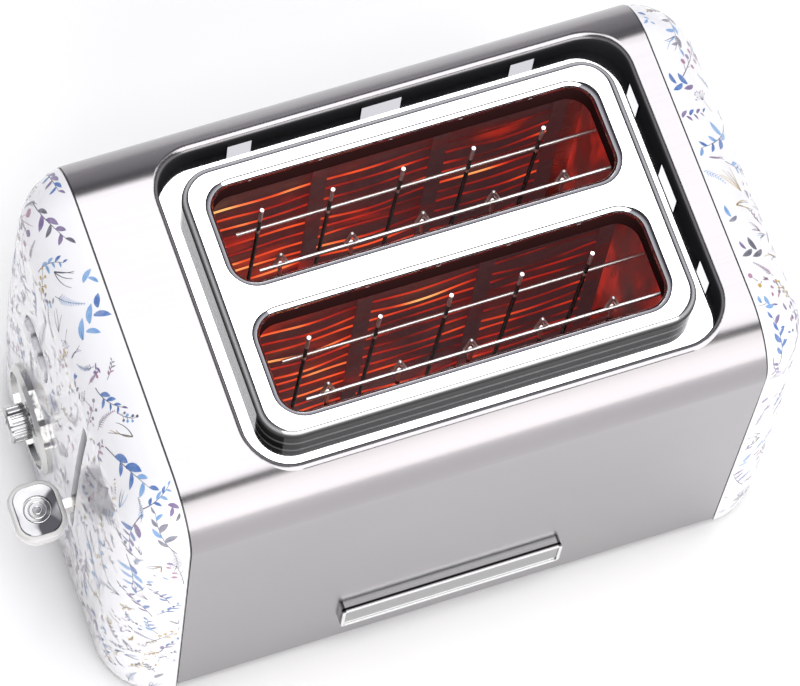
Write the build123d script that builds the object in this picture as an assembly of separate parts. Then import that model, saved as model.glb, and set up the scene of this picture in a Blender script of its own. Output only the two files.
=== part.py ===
from build123d import *
import math
import os

# Two-slice toaster: a steel wrap between two moulded end caps, with a recessed slot plate on top.
#
# Inside are two steel bulkheads, three heater boards with wound ribbon, four tilting wire guards, and a
# carriage with two bread racks that a lever lifts along a guide rod. Lengths are millimetres. X runs along the
# toaster with the control end at -X, Y runs from the front to the back, and Z is up from the table.
# The rest position has the lever down, as when toasting. Every piece is modelled about the middle of the wrap
# and moved at the end, so that the origin is under the middle of the whole toaster.

# Wrap, the folded steel sheet over the front, top and back
body_height = 172.0
left_shelf = 28.05
right_shelf = 9.55
side_shelf = 15.0
shoulder_radius = 24.0
sheet = 1.0
foot_height = 6.4

# Opening in the top of the wrap
opening_corner = 16.0
lip_drop = 12.0
lip_radius = 2.2
lip_wall = 1.6

# Slot plate, the pressed chrome pan in that opening
pan_sheet = 1.2
pan_flange = 3.0
groove_length = 6.7
groove_depth = 8.0
plateau_rim_length = 10.15
plateau_rim_depth = 8.8
plateau_corner = 13.0
plateau_sink = 0.5
plateau_edge = 3.0
slot_length = 142.7
slot_width = 37.4
slot_corner = 8.5
slot_pitch = 51.0
throat_bend = 3.6
throat_drop = 12.0

# Tabs that hold the slot plate against the wall of the recess
tab_sheet = 0.8
tab_height = 5.0
tab_short = 9.0
tab_long = 15.0
tab_spread_x = 53.5
tab_spread_y = 36.0

# End caps
cap_reach = 24.1
cap_middle_reach = 23.7
cap_top_reach = 18.6
cap_bottom = 4.0
cap_wall = 2.5
cap_seam = 0.3
spigot_length = 5.0
spigot_wall = 1.8
spigot_gap = 0.2

# Controls on the left cap
lever_y = -20.5
lever_slot_width = 4.6
lever_slot_below = 16.0
lever_slot_above = 6.0
dial_y = 22.0
dial_z = 58.0
bezel_radius = 21.3
bezel_proud = 3.6
bezel_edge = 1.6
bezel_dish = 1.2
bezel_spigot_radius = 8.0
knob_radius = 6.9
knob_length = 8.2
knob_gap = 0.6
knob_flutes = 16
knob_flute_radius = 0.75
shaft_radius = 3.0
shaft_clearance = 0.05
dial_half_turn = 135.0
button_panel_z = 112.0
button_panel_depth = 26.0
button_panel_height = 19.0
button_panel_recess = 1.2
button_depth = 6.6
button_height = 11.0
button_pitch = 7.8
button_proud = 1.6
button_travel = 1.5
button_clearance = 0.35
button_corner = 2.0
button_edge = 0.9
switch_height = 2.0
dial_switch_length = 6.0
post_radius = 2.5
button_names = ["reheat_button", "defrost_button", "cancel_button"]

# Carriage and lever
lift_gap = 8.8
arm_z = 76.0
arm_height = 6.0
arm_thickness = 3.4
paddle_reach = 23.2
paddle_length = 19.6
paddle_depth = 23.0
paddle_thickness = 6.0
paddle_round = 7.5
paddle_drop = 2.0
insert_inset = 1.9
insert_proud = 0.7
insert_depth = 1.0
dish_depth = 0.5
dish_radius = 5.5
carrier_thickness = 1.5
carrier_gap = 7.0
carrier_low = 27.0
carrier_high = 86.0
carrier_half_depth = 33.0
boss_radius = 5.0
boss_height = 16.0
rod_radius = 2.5
rod_clearance = 0.05
rod_offset = 17.0
rack_z = 36.0
rack_width = 14.0
rack_sheet = 1.0
rack_tooth_width = 3.0
rack_teeth = 12
rack_arm_height = 6.0
spring_radius = 3.2
spring_wire = 0.7
spring_turns = 12
spring_y = 12.0

# Wire guards
guard_wire = 1.5
guard_pitch = 26.6
guard_count = 5
guard_pivot_z = 32.0
guard_rail_drop = 20.3
guard_tip = 21.5
hairpin_rail_drop = 0.9
hairpin_tip = 6.5
hairpin_half_width = 2.2
guard_rail_extra = 8.0
guard_rail_gap = 4.0
guard_pivot_offset = 17.4
guard_closed_offset = 11.3
guard_pivot_clearance = 0.05

# Heater boards and their ribbon
board_sheet = 1.0
board_low = 40.0
board_drop = 5.8
board_end = 6.0
board_offset = 50.0
ribbon_thickness = 0.5
ribbon_width = 1.4
ribbon_gap = 0.7
ribbon_end_margin = 7.0
ribbon_loops = 11
ribbon_margin = 12.0
strip_width = 6.0
strip_sheet = 0.5
strip_foot = 4.0
strip_centre_x = 28.5
strip_pitch = 46.0
reflector_sheet = 0.6
reflector_gap = 6.0
reflector_low = 20.0

# Bulkheads, base and crumb tray
bulkhead_sheet = 1.0
bulkhead_gap = 9.0
bulkhead_half_depth = 62.0
bulkhead_flange = 10.0
base_sheet = 2.5
base_wall = 2.0
base_wall_height = 8.0
base_gap = 0.4
foot_radius = 8.0
foot_inset_x = 22.0
foot_inset_y = 20.0
foot_spigot_radius = 3.0
tray_side_gap = 7.35
tray_depth = 118.0
tray_height = 10.0
tray_pan_height = 4.5
tray_sheet = 1.0
tray_lift = 0.3
tray_gap = 0.6
tray_travel = 105.0
tray_grip = 5.0
tray_grip_length = 44.0
tray_grip_sheet = 2.0
tray_handle_proud = 1.2
cord_outlet_radius = 3.6
grommet_wall = 1.6
grommet_height = 6.0
screw_head_radius = 3.2
screw_head_height = 1.8
screw_shank_radius = 1.5
screw_offset = 34.0
cord_outlet_inset = 24.0
cord_outlet_y = 26.0

# Badge on the front
badge_length = 86.4
badge_height = 16.0
badge_thickness = 3.0
badge_rim = 1.2
badge_rim_depth = 0.5
badge_corner = 1.6
badge_x = -1.8
badge_z = 31.6

# Magnet, latch and circuit board beside the carriage
magnet_size = 13.0
magnet_y = -26.0
catch_thickness = 1.6
circuit_sheet = 1.6
circuit_x = -113.0
circuit_low = 34.0
circuit_high = 136.0
circuit_half_depth = 22.0
circuit_y = 26.0

clearance = 0.3

# Places worked out from the sizes above
plateau_length = slot_length + 2 * plateau_rim_length
plateau_depth = slot_pitch + slot_width + 2 * plateau_rim_depth
opening_length = plateau_length + 2 * groove_length
opening_depth = plateau_depth + 2 * groove_depth
opening_centre_x = (left_shelf - right_shelf) / 2
wrap_length = opening_length + left_shelf + right_shelf
body_depth = opening_depth + 2 * side_shelf
seam_x = wrap_length / 2
half_depth = body_depth / 2
wrap_bottom = foot_height
recess_floor_z = body_height - lip_drop
plateau_z = body_height - plateau_sink
plate_underside = recess_floor_z - pan_sheet
slot_ys = [-slot_pitch / 2, slot_pitch / 2]
bulkhead_left_x = opening_centre_x - slot_length / 2 - bulkhead_gap
bulkhead_right_x = opening_centre_x + slot_length / 2 + bulkhead_gap
base_top = foot_height + base_sheet
carrier_x = bulkhead_left_x - carrier_gap
rod_x = bulkhead_left_x - rod_offset
paddle_tip_x = seam_x + cap_reach + paddle_reach
shelf_sheet = 2.0
shelf_half_depth = 26.0
shelf_z = plate_underside - shelf_sheet
lift_travel = shelf_z - carrier_high - lift_gap
lever_slot_low = arm_z - arm_height / 2 - lever_slot_below
lever_slot_high = arm_z + arm_height / 2 + lift_travel + lever_slot_above
board_high = plate_underside - board_drop
ribbon_pitch = (board_high - board_low - 2 * ribbon_end_margin) / ribbon_loops
tray_length = bulkhead_right_x - bulkhead_left_x - 2 * tray_side_gap
guard_rail_zs = {1: plate_underside - guard_rail_drop, -1: plate_underside - hairpin_rail_drop}
guard_lean = (guard_pivot_offset - guard_closed_offset) / (guard_rail_zs[1] - guard_pivot_z)
rack_high = rack_z + rack_arm_height + lift_travel + 2
reflector_y = board_offset + reflector_gap
board_ys = {"front": -board_offset, "centre": 0.0, "back": board_offset}
tray_z = base_top + tray_lift
panel_centre_y = dial_y + 5.5
button_ys = [panel_centre_y + step * button_pitch for step in (-1, 0, 1)]
foot_places = [
    (sx * (seam_x - foot_inset_x), sy * (half_depth - foot_inset_y)) for sx in (-1, 1) for sy in (-1, 1)
]
screw_places = [
    (x, sy * screw_offset)
    for x in (bulkhead_left_x - bulkhead_flange / 2, bulkhead_right_x + bulkhead_flange / 2) for sy in (-1, 1)
]
cord_outlet_place = (bulkhead_left_x - cord_outlet_inset, cord_outlet_y)


def end_x(z, inset=0.0):
    """How far the end face stands from the middle at height z, going by its bow."""
    share = (z - cap_bottom) / (body_height - cap_bottom)
    middle = 2 * (2 * cap_middle_reach - cap_reach - cap_top_reach) * share * (1 - share)
    return seam_x + cap_reach + (cap_top_reach - cap_reach) * share + middle - inset


# The toaster reaches further at the lever than at the other end, and the badge stands off the front
widest_x = max(end_x(z) for z in range(round(cap_bottom), round(body_height)))
origin_x = (paddle_tip_x - widest_x) / 2
origin_y = (badge_thickness - tray_grip) / 2


def rounded(length, depth, corner, z, height, x=opening_centre_x, y=0.0):
    """An upright block with round corners, standing at height z."""
    return Pos(x, y, z) * extrude(RectangleRounded(length, depth, corner), height)


def box(low, high):
    """A block from its lowest corner to its highest."""
    size = [b - a for a, b in zip(low, high)]
    return Pos(*low) * Box(*size, align=(Align.MIN, Align.MIN, Align.MIN))


def rod(start, end, radius):
    """A round bar between two points."""
    line = Vector(*end) - Vector(*start)
    plane = Plane(origin=start, z_dir=line)
    return plane * Cylinder(radius, line.length, align=(Align.CENTER, Align.CENTER, Align.MIN))


def along_x(sketch, y, z, x_low, x_high):
    """A flat outline centred on y and z, drawn out along X between two places."""
    return Pos(x_low, 0, 0) * extrude(Plane.YZ * (Pos(y, z) * sketch), x_high - x_low)


def arch(inset, x_low, x_high, bottom=wrap_bottom):
    """The body's section, a square arch with round shoulders, set in from the outside and drawn along X."""
    half = half_depth - inset
    top = body_height - inset
    block = box((x_low, -half, bottom), (x_high, half, top))
    shoulders = block.edges().filter_by(Axis.X).group_by(Axis.Z)[-1]
    return fillet(shoulders, shoulder_radius - inset)


def body_block(inset, bottom=cap_bottom):
    """The whole body as one rounded block with bowed ends, set in from the outside."""
    top = body_height - inset
    middle = (bottom + top) / 2
    low_x, middle_x, high_x = (end_x(z, inset) for z in (bottom, middle, top))
    side = ThreePointArc((low_x, bottom), (middle_x, middle), (high_x, top))
    outline = Polyline((high_x, top), (-high_x, top))
    outline += ThreePointArc((-high_x, top), (-middle_x, middle), (-low_x, bottom))
    outline += Line((-low_x, bottom), (low_x, bottom)) + side
    block = extrude(make_face(Plane.XZ * outline), half_depth - inset, both=True)
    edges = block.edges().filter_by(lambda e: e.center().Z > bottom + 1 and abs(e.center().X) > 1)
    top_edges = block.edges().filter_by(lambda e: e.center().Z > top - 0.1 and abs(e.center().X) < 1)
    return fillet(edges + top_edges, shoulder_radius - inset)


def make_wrap():
    """The folded sheet with its turned-down lip on top and the crumb tray's mouth at the back."""
    shell = arch(0, -seam_x, seam_x) - arch(sheet, -seam_x - 1, seam_x + 1, wrap_bottom - 1)
    lip = rounded(
        opening_length + 2 * lip_wall, opening_depth + 2 * lip_wall, opening_corner + lip_wall,
        recess_floor_z, lip_drop,
    )
    shell += lip & arch(0, -seam_x, seam_x)
    shell -= rounded(opening_length, opening_depth, opening_corner, recess_floor_z - 1, lip_drop + 5)
    return fillet(shell.edges().filter_by(on_rim), lip_radius) - tray_mouth(sheet + 2)


def on_rim(edge):
    """True for the edges where the wrap's top turns down into the recess."""
    centre = edge.center()
    across = abs(centre.X - opening_centre_x)
    inside = across < opening_length / 2 + 0.01 and abs(centre.Y) < opening_depth / 2 + 0.01
    return inside and centre.Z > body_height - 3.5


def tray_mouth(thickness):
    """The gap that the crumb tray passes through, in the back of the wrap and in the base."""
    half = tray_length / 2 + tray_gap
    return box(
        (opening_centre_x - half, half_depth - thickness, base_top - 1),
        (opening_centre_x + half, half_depth + thickness, base_top + tray_height + tray_gap),
    )


def throat(extra, z, height, slot_y):
    """The block that fills a bread slot, larger by extra on every side."""
    return rounded(slot_length + 2 * extra, slot_width + 2 * extra, slot_corner + extra, z, height, y=slot_y)


def make_slot_plate():
    """The pressed pan: a floor under the lip, a raised middle, and two throats with rolled edges."""
    flange = lip_wall + pan_flange
    plate = rounded(
        opening_length + 2 * flange, opening_depth + 2 * flange, opening_corner + flange,
        plate_underside, pan_sheet,
    )
    block = rounded(plateau_length, plateau_depth, plateau_corner, plate_underside, plateau_z - plate_underside)
    plate += fillet(block.faces().sort_by(Axis.Z)[-1].edges(), plateau_edge)
    inner = [size - 2 * pan_sheet for size in (plateau_length, plateau_depth)]
    hollow_top = plateau_z - pan_sheet
    hollow = rounded(*inner, plateau_corner - pan_sheet, plate_underside - 1, hollow_top - plate_underside + 1)
    hollow = chamfer(hollow.faces().sort_by(Axis.Z)[-1].edges(), pan_sheet)
    plate -= hollow
    for slot_y in slot_ys:
        plate += throat(pan_sheet, plateau_z - throat_drop, throat_drop - pan_sheet, slot_y)
        plate -= throat(0, plateau_z - throat_drop - 1, throat_drop + 2, slot_y)
    under = plate.edges().filter_by(lambda e: abs(e.center().Z - hollow_top) < 0.01 and in_slot(e, pan_sheet))
    plate = chamfer(under, throat_bend - 1.4 * pan_sheet)
    over = plate.edges().filter_by(lambda e: abs(e.center().Z - plateau_z) < 0.01 and in_slot(e, 0))
    return fillet(over, throat_bend)


def in_slot(edge, extra):
    """True for an edge that lies on the wall of one of the two throats."""
    centre = edge.center()
    across = abs(centre.X - opening_centre_x)
    side = min(abs(centre.Y - slot_y) for slot_y in slot_ys)
    return across < slot_length / 2 + extra + 0.01 and side < slot_width / 2 + extra + 0.01


def make_tabs():
    """The small upright tongues that hold the slot plate against the recess wall."""
    tabs = []
    for side in (-1, 1):
        y = side * (opening_depth / 2 - tab_sheet / 2)
        x_edge = side * (opening_length / 2 - tab_sheet / 2)
        for step in (-1, 0, 1):
            length = tab_long if step == 0 else tab_short
            x = opening_centre_x + step * tab_spread_x
            tabs.append(Pos(x, y, recess_floor_z + tab_height / 2) * Box(length, tab_sheet, tab_height))
            across = step * tab_spread_y
            place = Pos(opening_centre_x + x_edge, across, recess_floor_z + tab_height / 2)
            tabs.append(place * Box(tab_sheet, length, tab_height))
    return tabs


def make_cap(side):
    """A hollow end cap, with a thin tongue that goes inside the wrap."""
    far = seam_x + cap_reach + 5
    near = seam_x + cap_seam
    x_low, x_high = (near, far) if side > 0 else (-far, -near)
    keep = box((x_low, -far, -5), (x_high, far, body_height + 5))
    cap = (body_block(0) - body_block(cap_wall, cap_bottom - 1)) & keep
    tongue_low, tongue_high = sorted((side * (seam_x - spigot_length), side * (near + 3)))
    outer = arch(sheet + spigot_gap, tongue_low, tongue_high, base_top)
    inner = arch(sheet + spigot_gap + spigot_wall, tongue_low - 1, tongue_high + 1, base_top - 1)
    return cap + (outer - inner)


def make_left_cap():
    """The control end, with the lever's slot and the holes and posts behind the dial and the buttons."""
    cap = make_cap(-1)
    height = lever_slot_high - lever_slot_low
    slot = SlotOverall(height, lever_slot_width, rotation=90)
    far = -seam_x - cap_reach - 5
    near = -seam_x - 5
    cap -= along_x(slot, lever_y, (lever_slot_high + lever_slot_low) / 2, far, near)
    cap -= along_x(Circle(bezel_spigot_radius), dial_y, dial_z, far, near)
    cap -= along_x(panel_outline(), panel_centre_y, button_panel_z, far, near)
    for y in (circuit_y - circuit_half_depth + post_radius, circuit_y + circuit_half_depth - post_radius):
        for z in (circuit_low + post_radius, circuit_high - post_radius):
            cap += rod((circuit_x, y, z), (1 - end_x(z), y, z), post_radius)
    return cap


def panel_outline():
    """The button panel's outline, with round ends."""
    return RectangleRounded(button_panel_depth, button_panel_height, button_panel_height / 2 - 0.1)


def make_button_panel():
    """The plate that fills the hole in the cap and guides the three buttons."""
    prism = along_x(panel_outline(), panel_centre_y, button_panel_z, -seam_x - 30, -seam_x - 5)
    panel = prism & (body_block(button_panel_recess) - body_block(cap_wall + 0.5, cap_bottom - 1))
    for y in button_ys:
        panel -= along_x(button_outline(button_clearance), y, button_panel_z, -seam_x - 30, -seam_x - 5)
    return panel


def button_outline(extra=0.0):
    return RectangleRounded(button_depth + 2 * extra, button_height + 2 * extra, button_corner + extra)


def make_button(y):
    """A push button with a collar behind the panel and a stem to its switch."""
    cap_low = -end_x(button_panel_z) - button_proud
    collar_x = -end_x(button_panel_z, cap_wall + 0.5) + 0.5
    button = along_x(button_outline(), y, button_panel_z, cap_low, collar_x + 1)
    front = button.faces().sort_by(Axis.X)[0].edges()
    button = chamfer(front, button_edge)
    collar = RectangleRounded(button_depth + 0.8, button_height + 3, button_corner)
    button += along_x(collar, y, button_panel_z, collar_x, collar_x + 1)
    return button + along_x(Circle(1.5), y, button_panel_z, collar_x, circuit_x - switch_height - button_travel - 0.3)


def make_circuit_board():
    """The board behind the controls, with the button switches on its face."""
    board = box(
        (circuit_x, circuit_y - circuit_half_depth, circuit_low),
        (circuit_x + circuit_sheet, circuit_y + circuit_half_depth, circuit_high),
    )
    for y in button_ys:
        board += Pos(circuit_x - switch_height / 2, y, button_panel_z) * Box(switch_height, 6, 6)
    return board


def make_dial_switch():
    """The rotary switch on the board, with the bore that the dial's shaft turns in."""
    body = along_x(RectangleRounded(16, 16, 2), dial_y, dial_z, circuit_x - dial_switch_length, circuit_x)
    return body - along_x(
        Circle(shaft_radius + shaft_clearance), dial_y, dial_z, circuit_x - dial_switch_length - 1, circuit_x - 1
    )


def make_bezel():
    """The round dished plate behind the dial, cut to sit flat on the leaning end face."""
    face_x = -end_x(dial_z) - bezel_proud
    disc = along_x(Circle(bezel_radius), dial_y, dial_z, face_x, -seam_x - cap_reach + 6)
    disc = chamfer(disc.faces().sort_by(Axis.X)[0].edges(), bezel_edge) - body_block(0)
    disc -= along_x(Circle(bezel_radius - 2.6), dial_y, dial_z, face_x - 1, face_x + bezel_dish)
    spigot_end = -end_x(dial_z, cap_wall) + 1.5
    disc += along_x(Circle(bezel_spigot_radius), dial_y, dial_z, face_x + bezel_dish, spigot_end)
    return disc - along_x(Circle(shaft_radius + 0.5), dial_y, dial_z, face_x - 1, spigot_end + 1)


def make_knob():
    """The fluted knob on its shaft."""
    back = -end_x(dial_z) - bezel_proud + bezel_dish - knob_gap
    front = back - knob_length
    knob = along_x(Circle(knob_radius), dial_y, dial_z, front, back)
    knob = chamfer(knob.faces().sort_by(Axis.X)[0].edges(), 0.8)
    for n in range(knob_flutes):
        turn = math.radians(360 * n / knob_flutes)
        y, z = dial_y + knob_radius * math.cos(turn), dial_z + knob_radius * math.sin(turn)
        knob -= along_x(Circle(knob_flute_radius), y, z, front + 1.6, back + 1)
    knob -= along_x(Rectangle(0.8, 4), dial_y, dial_z + knob_radius - 3, front - 1, front + 0.5)
    return knob + along_x(Circle(shaft_radius), dial_y, dial_z, back, circuit_x - 1.3)


def make_bulkhead(x, side):
    """A steel wall across the body, with a foot on the base and openings for the racks and the guards."""
    low, high = sorted((x, x + side * bulkhead_sheet))
    wall = box((low, -bulkhead_half_depth, base_top), (high, bulkhead_half_depth, plate_underside))
    foot_low, foot_high = sorted((x, x + side * bulkhead_flange))
    wall += box((foot_low, -bulkhead_half_depth, base_top), (foot_high, bulkhead_half_depth, base_top + bulkhead_sheet))
    half = rack_sheet / 2 + clearance
    for slot_y in slot_ys:
        wall -= box((x - 3, slot_y - half, rack_z - clearance), (x + 3, slot_y + half, rack_high + clearance))
        for pivot_y in guard_pivots(slot_y):
            start = (x - 3, pivot_y, guard_pivot_z)
            wall -= rod(start, (x + 3, pivot_y, guard_pivot_z), guard_wire / 2 + guard_pivot_clearance)
    return wall


def make_left_bulkhead():
    """The wall beside the carriage, with a shelf that holds the guide rod and the spring."""
    wall = make_bulkhead(bulkhead_left_x, -1)
    shelf_x = rod_x - boss_radius
    wall += box((shelf_x, -shelf_half_depth, shelf_z), (bulkhead_left_x, shelf_half_depth, shelf_z + shelf_sheet))
    return wall


def make_base():
    """The flat plate under everything, with short walls inside the wrap and holes for feet and screws."""
    length, depth = (2 * (size - cap_wall - base_gap) for size in (seam_x + cap_reach, half_depth))
    plate = rounded(length, depth, shoulder_radius - cap_wall, foot_height, base_sheet, x=0)
    half = half_depth - sheet - base_gap
    reach = seam_x - spigot_length - 1
    plate += box((-reach, -half, foot_height), (reach, half, base_top))
    for side in (-1, 1):
        y_low, y_high = sorted((side * half, side * (half - base_wall)))
        plate += box((-reach, y_low, foot_height), (reach, y_high, base_top + base_wall_height))
    plate -= tray_mouth(sheet + base_gap + base_wall + 1)
    for x, y in foot_places:
        plate -= rod((x, y, foot_height - 1), (x, y, base_top + 1), foot_spigot_radius)
    for x, y in screw_places:
        plate -= rod((x, y, foot_height - 1), (x, y, base_top + 1), screw_shank_radius)
    x, y = cord_outlet_place
    return plate - rod((x, y, foot_height - 1), (x, y, base_top + 1), cord_outlet_radius + grommet_wall)


def make_foot(x, y):
    """A round rubber foot with a stud that goes through the base."""
    pad = Pos(x, y, 0) * Cylinder(foot_radius, foot_height, align=(Align.CENTER, Align.CENTER, Align.MIN))
    pad = chamfer(pad.faces().sort_by(Axis.Z)[0].edges(), 1.2)
    return pad + rod((x, y, foot_height), (x, y, base_top), foot_spigot_radius)


def make_screw(x, y):
    """A pan-head screw that holds a bulkhead's foot to the base."""
    head = Pos(x, y, foot_height - screw_head_height) * Cylinder(
        screw_head_radius, screw_head_height, align=(Align.CENTER, Align.CENTER, Align.MIN)
    )
    head = chamfer(head.faces().sort_by(Axis.Z)[0].edges(), 0.6)
    return head + rod((x, y, foot_height), (x, y, base_top), screw_shank_radius)


def make_grommet():
    """The soft ring that lines the cord's way out through the base."""
    x, y = cord_outlet_place
    outer = cord_outlet_radius + grommet_wall
    middle = foot_height + base_sheet / 2
    ring = rod((x, y, foot_height), (x, y, base_top), outer)
    for z_low, z_high in ((middle - grommet_height / 2, foot_height), (base_top, middle + grommet_height / 2)):
        ring += rod((x, y, z_low), (x, y, z_high), outer + grommet_wall)
    return ring - rod((x, y, middle - grommet_height), (x, y, middle + grommet_height), cord_outlet_radius)


def make_tray():
    """The crumb tray: a shallow pan with a finger lip at the back."""
    x_low, x_high = opening_centre_x - tray_length / 2, opening_centre_x + tray_length / 2
    y_low, y_high = half_depth - tray_depth, half_depth
    tray = box((x_low, y_low, tray_z), (x_high, y_high, tray_z + tray_pan_height))
    tray -= box(
        (x_low + tray_sheet, y_low + tray_sheet, tray_z + tray_sheet),
        (x_high - tray_sheet, y_high - tray_sheet, tray_z + tray_height),
    )
    tray += box((x_low, y_high - tray_sheet, tray_z), (x_high, y_high + tray_handle_proud, tray_z + tray_height))
    half = tray_grip_length / 2
    grip = box(
        (opening_centre_x - half, y_high, tray_z + 1),
        (opening_centre_x + half, y_high + tray_grip, tray_z + 1 + tray_grip_sheet),
    )
    return tray + fillet(grip.faces().sort_by(Axis.Y)[-1].edges(), 0.8)


def make_badge():
    """The bare plate on the front, with a plain raised rim."""
    face_y = -half_depth
    plate = Pos(badge_x, face_y, badge_z) * extrude(
        Plane.XZ * RectangleRounded(badge_length, badge_height, badge_corner), badge_thickness
    )
    pocket = Pos(badge_x, face_y - badge_thickness + badge_rim_depth, badge_z) * extrude(
        Plane.XZ * RectangleRounded(badge_length - 2 * badge_rim, badge_height - 2 * badge_rim, badge_corner - badge_rim),
        badge_thickness,
    )
    return plate - pocket


def make_board(y):
    """A heater board: a thin sheet, narrow between its ends, with upright strips that bridge the ribbon."""
    low, high = bulkhead_left_x, bulkhead_right_x
    half = board_sheet / 2
    board = box((low, y - half, board_low), (high, y + half, board_high))
    for edge, side in ((low, 1), (high, -1)):
        x_low, x_high = sorted((edge - side, edge + side * ribbon_margin))
        board -= box((x_low, y - 2, board_low + board_end), (x_high, y + 2, board_high - board_end))
    offset = ribbon_gap + ribbon_thickness + ribbon_gap
    for step in (-1, 0, 1):
        x = strip_centre_x + step * strip_pitch
        for side in (-1, 1):
            y_low, y_high = sorted((y + side * (half + offset), y + side * (half + offset + strip_sheet)))
            board += box((x - strip_width / 2, y_low, board_low), (x + strip_width / 2, y_high, board_high))
            y_low, y_high = sorted((y + side * half, y + side * (half + offset)))
            for z in (board_low, board_high - strip_foot):
                board += box((x - strip_width / 2, y_low, z), (x + strip_width / 2, y_high, z + strip_foot))
    return board


def ribbon_points(y):
    """The corners of the ribbon's middle line, going round and round the board from the bottom up."""
    x_low, x_high = bulkhead_left_x + ribbon_margin - ribbon_gap, bulkhead_right_x - ribbon_margin + ribbon_gap
    offset = board_sheet / 2 + ribbon_gap + ribbon_thickness / 2
    x_low, x_high = x_low - ribbon_thickness / 2, x_high + ribbon_thickness / 2
    start = (board_low + board_high - ribbon_pitch * ribbon_loops) / 2
    points = []
    for n in range(ribbon_loops):
        z = start + n * ribbon_pitch
        points += [(x_low, y - offset, z), (x_high, y - offset, z + ribbon_pitch / 2)]
        points += [(x_high, y + offset, z + ribbon_pitch / 2), (x_low, y + offset, z + ribbon_pitch)]
    return points


def make_winding(y):
    """The heating ribbon, one unbroken flat strip wound round its board."""
    points = ribbon_points(y)
    winding = None
    for start, end in zip(points, points[1:]):
        piece = flat_run(start, end)
        winding = piece if winding is None else winding + piece
    return winding


def flat_run(start, end):
    """One straight run of the ribbon, along a face of the board or across its edge."""
    half_wide, half_thick = ribbon_width / 2, ribbon_thickness / 2
    if abs(start[0] - end[0]) < 0.01:
        y_low, y_high = sorted((start[1], end[1]))
        return box(
            (start[0] - half_thick, y_low - half_thick, start[2] - half_wide),
            (start[0] + half_thick, y_high + half_thick, start[2] + half_wide),
        )
    step = half_thick if end[0] > start[0] else -half_thick
    x0, x1 = start[0] - step, end[0] + step
    outline = Polyline(
        (x0, start[2] - half_wide), (x1, end[2] - half_wide), (x1, end[2] + half_wide), (x0, start[2] + half_wide),
        close=True,
    )
    face = Pos(0, start[1] + half_thick, 0) * make_face(Plane.XZ * outline)
    return extrude(face, ribbon_thickness)


def least_gap(points):
    """The least distance from the ribbon to itself, measured on points along runs that don't touch."""
    runs = [
        [Vector(*a) + (Vector(*b) - Vector(*a)) * (n / 12) for n in range(13)] for a, b in zip(points, points[1:])
    ]
    nearest = min(
        (p - q).length for i, run in enumerate(runs) for other in runs[i + 2:] for p in run for q in other
    )
    return nearest - max(ribbon_width, ribbon_thickness)


def guard_pivots(slot_y):
    return [slot_y - guard_pivot_offset, slot_y + guard_pivot_offset]


def guard_y(slot_y, side, z):
    """Where the middle of a guard's upright wires lies at height z."""
    return slot_y + side * (guard_pivot_offset - guard_lean * (z - guard_pivot_z))


def make_guard(slot_y, side):
    """A row of upright wires on a pivot rod, leaning in over the bread, with a rail across them.

    The wires behind the bread end in straight tips, and those in front of it in narrow hairpins.
    """
    radius = guard_wire / 2
    reach = bulkhead_sheet + 1.5
    pivot_y = slot_y + side * guard_pivot_offset
    guard = rod(
        (bulkhead_left_x - reach, pivot_y, guard_pivot_z), (bulkhead_right_x + reach, pivot_y, guard_pivot_z), radius
    )
    rail_z = guard_rail_zs[side]
    tip_z = rail_z + (guard_tip if side > 0 else hairpin_tip)
    rail_y, tip_y = guard_y(slot_y, side, rail_z), guard_y(slot_y, side, tip_z)
    half = (guard_count - 1) / 2
    for n in range(guard_count):
        x = opening_centre_x + (n - half) * guard_pitch
        if side > 0:
            guard += rod((x, pivot_y, guard_pivot_z), (x, tip_y, tip_z), radius)
            continue
        guard += rod((x, pivot_y, guard_pivot_z), (x, rail_y, rail_z), radius)
        for foot_x in (x - hairpin_half_width, x + hairpin_half_width):
            guard += rod((foot_x, rail_y, rail_z), (x, tip_y, tip_z), radius)
        guard += Pos(x, tip_y, tip_z) * Sphere(radius)
    start = opening_centre_x - half * guard_pitch - guard_rail_extra
    outer_y = rail_y + side * radius
    return guard + rod((start, outer_y, rail_z), (bulkhead_right_x - guard_rail_gap, outer_y, rail_z), radius)


def make_rack(slot_y):
    """A bread rack: an upright bar through both bulkheads, with short teeth across it."""
    half = rack_sheet / 2
    top = rack_z + rack_arm_height
    rack = box((carrier_x, slot_y - half, rack_z), (bulkhead_right_x + bulkhead_sheet + 2, slot_y + half, top))
    pitch = (bulkhead_right_x - bulkhead_left_x - 16) / (rack_teeth - 1)
    for n in range(rack_teeth):
        x = bulkhead_left_x + 8 + n * pitch
        tooth = Pos(x, slot_y, top - rack_sheet / 2) * Box(rack_tooth_width, rack_width, rack_sheet)
        rack += tooth
        for side in (-1, 1):
            end = Pos(x, slot_y + side * (rack_width / 2 - rack_sheet / 2), top + 0.5)
            rack += end * Box(rack_tooth_width, rack_sheet, 3)
    return rack


def make_carrier():
    """The carriage plate, with two bosses that slide on the guide rod and a lug for the spring."""
    plate = box(
        (carrier_x - carrier_thickness, -carrier_half_depth, carrier_low),
        (carrier_x, carrier_half_depth, carrier_high),
    )
    bore = rod_radius + rod_clearance
    for z in (carrier_low + 2, carrier_high - boss_height):
        plate += rod((rod_x, 0, z), (rod_x, 0, z + boss_height), boss_radius)
        plate += box((rod_x, -2, z), (carrier_x, 2, z + boss_height))
    plate -= rod((rod_x, 0, carrier_low - 1), (rod_x, 0, carrier_high + 1), bore)
    lug_y = spring_y
    lug = box((rod_x - spring_radius, lug_y - 4, carrier_low), (carrier_x, lug_y + 4, carrier_low + carrier_thickness))
    return plate + lug


def make_armature():
    """The small steel plate that the magnet holds when the lever is down."""
    half = magnet_size / 2
    z = carrier_low
    plate = box((rod_x - half, magnet_y - half, z), (carrier_x - carrier_thickness, magnet_y + half, z + catch_thickness))
    return plate


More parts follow.
